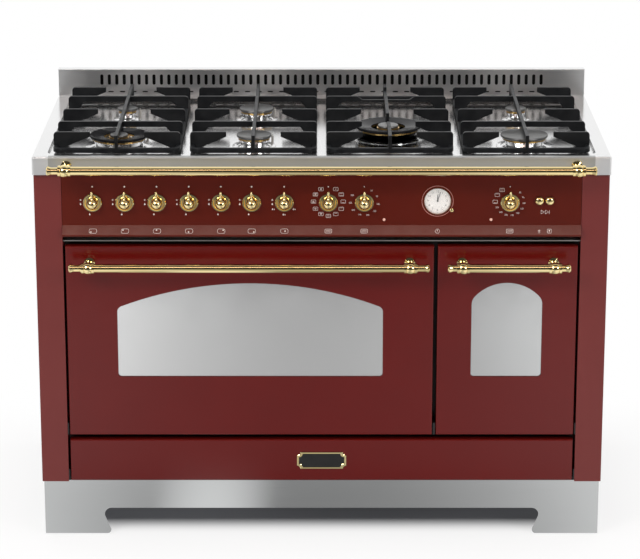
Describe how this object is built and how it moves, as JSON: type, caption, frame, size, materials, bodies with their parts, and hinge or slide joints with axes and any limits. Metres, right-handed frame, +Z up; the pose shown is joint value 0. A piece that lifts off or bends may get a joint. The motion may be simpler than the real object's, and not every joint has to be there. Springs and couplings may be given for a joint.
{
  "type": "range cooker",
  "caption": "Freestanding range cooker with gas hob, wide and narrow drop-door ovens, storage flap, brass rails and lever knobs, clock, cast-iron grates and a steel plinth.",
  "frame": {"origin": "centre of the bounding box on the floor", "axes": "+X to the viewer's right across the front, +Y from the front to the back, +Z up"},
  "size_m": [1.204, 0.6675, 0.905],
  "materials": {
    "enamel_red": "gloss stove enamel",
    "brushed_steel": "long brushed grain",
    "brass": "polished",
    "flame_brass": "satin",
    "cast_iron": "matt enamel",
    "burner_cap": "satin enamel",
    "burner_cup": "cast, satin",
    "zinc_sheet": "galvanised",
    "oven_enamel": "speckled grey enamel",
    "door_liner": "satin",
    "rack_chrome": "bright",
    "element": "heat darkened",
    "door_glass": "reflective",
    "lamp_glass": "clear",
    "lens": "translucent",
    "seal": "matt",
    "black_plastic": "moulded",
    "spark_ceramic": "glazed ceramic",
    "valve_brass": "cast",
    "gas_pipe": "drawn",
    "motor": "stove black",
    "fan": "pressed",
    "clock_case": "satin",
    "clock_dial": "white enamel",
    "clock_hands": "black"
  },
  "bodies": {
    "cooker_body": {"side_panels": "enamel_red", "control_panel": "enamel_red", "plinth": "brushed_steel", "backsplash": "brushed_steel", "hob_top": "brushed_steel", "hob_rail": "brass", "burner_rings": "flame_brass", "burner_caps": "burner_cap", "burner_cups": "burner_cup", "rear_panel": "zinc_sheet", "base_tray": "zinc_sheet", "front_frame": "zinc_sheet", "storage_box": "zinc_sheet", "door_hinges": "zinc_sheet", "main_oven_cavity": "oven_enamel", "small_oven_cavity": "oven_enamel", "fan_cover": "oven_enamel", "oven_racks": "rack_chrome", "oven_elements": "element", "oven_lamps": "lamp_glass", "indicator_lamps": "lens", "door_seals": "seal", "cable_gland": "black_plastic", "switch_bodies": "black_plastic", "levelling_feet": "black_plastic", "spark_electrodes": "spark_ceramic", "gas_valves": "valve_brass", "gas_pipework": "gas_pipe", "fan_motor": "motor", "clock_case": "clock_case", "clock_dial": "clock_dial"},
    "main_door": {"main_door_panel": "enamel_red", "main_door_glass": "door_glass", "main_door_liner": "door_liner", "main_door_handle": "brass"},
    "small_door": {"small_door_panel": "enamel_red", "small_door_glass": "door_glass", "small_door_liner": "door_liner", "small_door_handle": "brass"},
    "storage_flap": {"storage_flap": "enamel_red"},
    "selector_knob": {"selector_knob": "brass"},
    "thermostat_knob": {"thermostat_knob": "brass"},
    "small_oven_knob": {"small_oven_knob": "brass"},
    "convection_fan": {"convection_fan": "fan"},
    "ignition_button": {"ignition_button": "brass"},
    "lamp_button": {"lamp_button": "brass"},
    "hour_hand": {"hour_hand": "clock_hands"},
    "minute_hand": {"minute_hand": "clock_hands"},
    "clock_set_knob": {"clock_set_knob": "brass"},
    "burner_knob_1": {"burner_knob_1": "brass"},
    "burner_knob_2": {"burner_knob_2": "brass"},
    "burner_knob_3": {"burner_knob_3": "brass"},
    "burner_knob_4": {"burner_knob_4": "brass"},
    "burner_knob_5": {"burner_knob_5": "brass"},
    "burner_knob_6": {"burner_knob_6": "brass"},
    "burner_knob_7": {"burner_knob_7": "brass"},
    "grate_1": {"grate_1": "cast_iron"},
    "grate_2": {"grate_2": "cast_iron"},
    "grate_3": {"grate_3": "cast_iron"},
    "grate_4": {"grate_4": "cast_iron"}
  },
  "joints": [
    {"name": "door_main", "type": "hinge", "parent": "cooker_body", "child": "main_door", "pos_m": [-0.151, -0.25225, 0.2355], "axis": [1, 0, 0], "range_deg": [0, 90], "stiffness_Nm_per_rad": 10, "springref_deg": -28.65},
    {"name": "door_small", "type": "hinge", "parent": "cooker_body", "child": "small_door", "pos_m": [0.391, -0.25225, 0.2355], "axis": [1, 0, 0], "range_deg": [0, 90], "stiffness_Nm_per_rad": 4, "springref_deg": -28.65},
    {"name": "flap_storage", "type": "hinge", "parent": "cooker_body", "child": "storage_flap", "pos_m": [0, -0.25925, 0.1325], "axis": [1, 0, 0], "range_deg": [0, 90], "stiffness_Nm_per_rad": 0.8, "springref_deg": -28.65},
    {"name": "knob_burner_1", "type": "hinge", "parent": "cooker_body", "child": "burner_knob_1", "pos_m": [-0.478, -0.26625, 0.744], "axis": [0, -1, 0], "range_deg": [0, 180]},
    {"name": "knob_burner_2", "type": "hinge", "parent": "cooker_body", "child": "burner_knob_2", "pos_m": [-0.411, -0.26625, 0.744], "axis": [0, -1, 0], "range_deg": [0, 180]},
    {"name": "knob_burner_3", "type": "hinge", "parent": "cooker_body", "child": "burner_knob_3", "pos_m": [-0.344, -0.26625, 0.744], "axis": [0, -1, 0], "range_deg": [0, 180]},
    {"name": "knob_burner_4", "type": "hinge", "parent": "cooker_body", "child": "burner_knob_4", "pos_m": [-0.277, -0.26625, 0.744], "axis": [0, -1, 0], "range_deg": [0, 180]},
    {"name": "knob_burner_5", "type": "hinge", "parent": "cooker_body", "child": "burner_knob_5", "pos_m": [-0.21, -0.26625, 0.744], "axis": [0, -1, 0], "range_deg": [0, 180]},
    {"name": "knob_burner_6", "type": "hinge", "parent": "cooker_body", "child": "burner_knob_6", "pos_m": [-0.146, -0.26625, 0.744], "axis": [0, -1, 0], "range_deg": [0, 180]},
    {"name": "knob_burner_7", "type": "hinge", "parent": "cooker_body", "child": "burner_knob_7", "pos_m": [-0.078, -0.26625, 0.744], "axis": [0, -1, 0], "range_deg": [0, 240]},
    {"name": "knob_selector", "type": "hinge", "parent": "cooker_body", "child": "selector_knob", "pos_m": [0.014, -0.26625, 0.744], "axis": [0, 1, 0], "continuous": true},
    {"name": "knob_thermostat", "type": "hinge", "parent": "cooker_body", "child": "thermostat_knob", "pos_m": [0.089, -0.26625, 0.744], "axis": [0, 1, 0], "range_deg": [0, 290]},
    {"name": "knob_small_oven", "type": "hinge", "parent": "cooker_body", "child": "small_oven_knob", "pos_m": [0.393, -0.26625, 0.744], "axis": [0, 1, 0], "range_deg": [0, 320]},
    {"name": "press_ignition", "type": "slide", "parent": "cooker_body", "child": "ignition_button", "axis": [0, 1, 0], "range_m": [0, 0.003], "stiffness_N_per_m": 400},
    {"name": "press_lamp", "type": "slide", "parent": "cooker_body", "child": "lamp_button", "axis": [0, 1, 0], "range_m": [0, 0.003], "stiffness_N_per_m": 400},
    {"name": "timer_setting", "type": "hinge", "parent": "cooker_body", "child": "clock_set_knob", "pos_m": [0.2715, -0.26625, 0.7285], "axis": [0, 1, 0], "continuous": true},
    {"name": "timer_minute", "type": "hinge", "parent": "cooker_body", "child": "minute_hand", "pos_m": [0.242, -0.26625, 0.747], "axis": [0, 1, 0], "continuous": true},
    {"name": "timer_hour", "type": "hinge", "parent": "cooker_body", "child": "hour_hand", "pos_m": [0.242, -0.26625, 0.747], "axis": [0, 1, 0], "continuous": true},
    {"name": "fan_spin", "type": "hinge", "parent": "cooker_body", "child": "convection_fan", "pos_m": [-0.151, 0.21075, 0.44], "axis": [0, 1, 0], "continuous": true},
    {"name": "grate_1_lift", "type": "slide", "parent": "cooker_body", "child": "grate_1", "axis": [0, 0, 1], "range_m": [0, 0.06]},
    {"name": "grate_2_lift", "type": "slide", "parent": "cooker_body", "child": "grate_2", "axis": [0, 0, 1], "range_m": [0, 0.06]},
    {"name": "grate_3_lift", "type": "slide", "parent": "cooker_body", "child": "grate_3", "axis": [0, 0, 1], "range_m": [0, 0.06]},
    {"name": "grate_4_lift", "type": "slide", "parent": "cooker_body", "child": "grate_4", "axis": [0, 0, 1], "range_m": [0, 0.06]}
  ],
  "couplings": [
    {"joint": "timer_minute", "follows": "timer_setting", "ratio": 1},
    {"joint": "timer_hour", "follows": "timer_setting", "ratio": 0.083333}
  ]
}
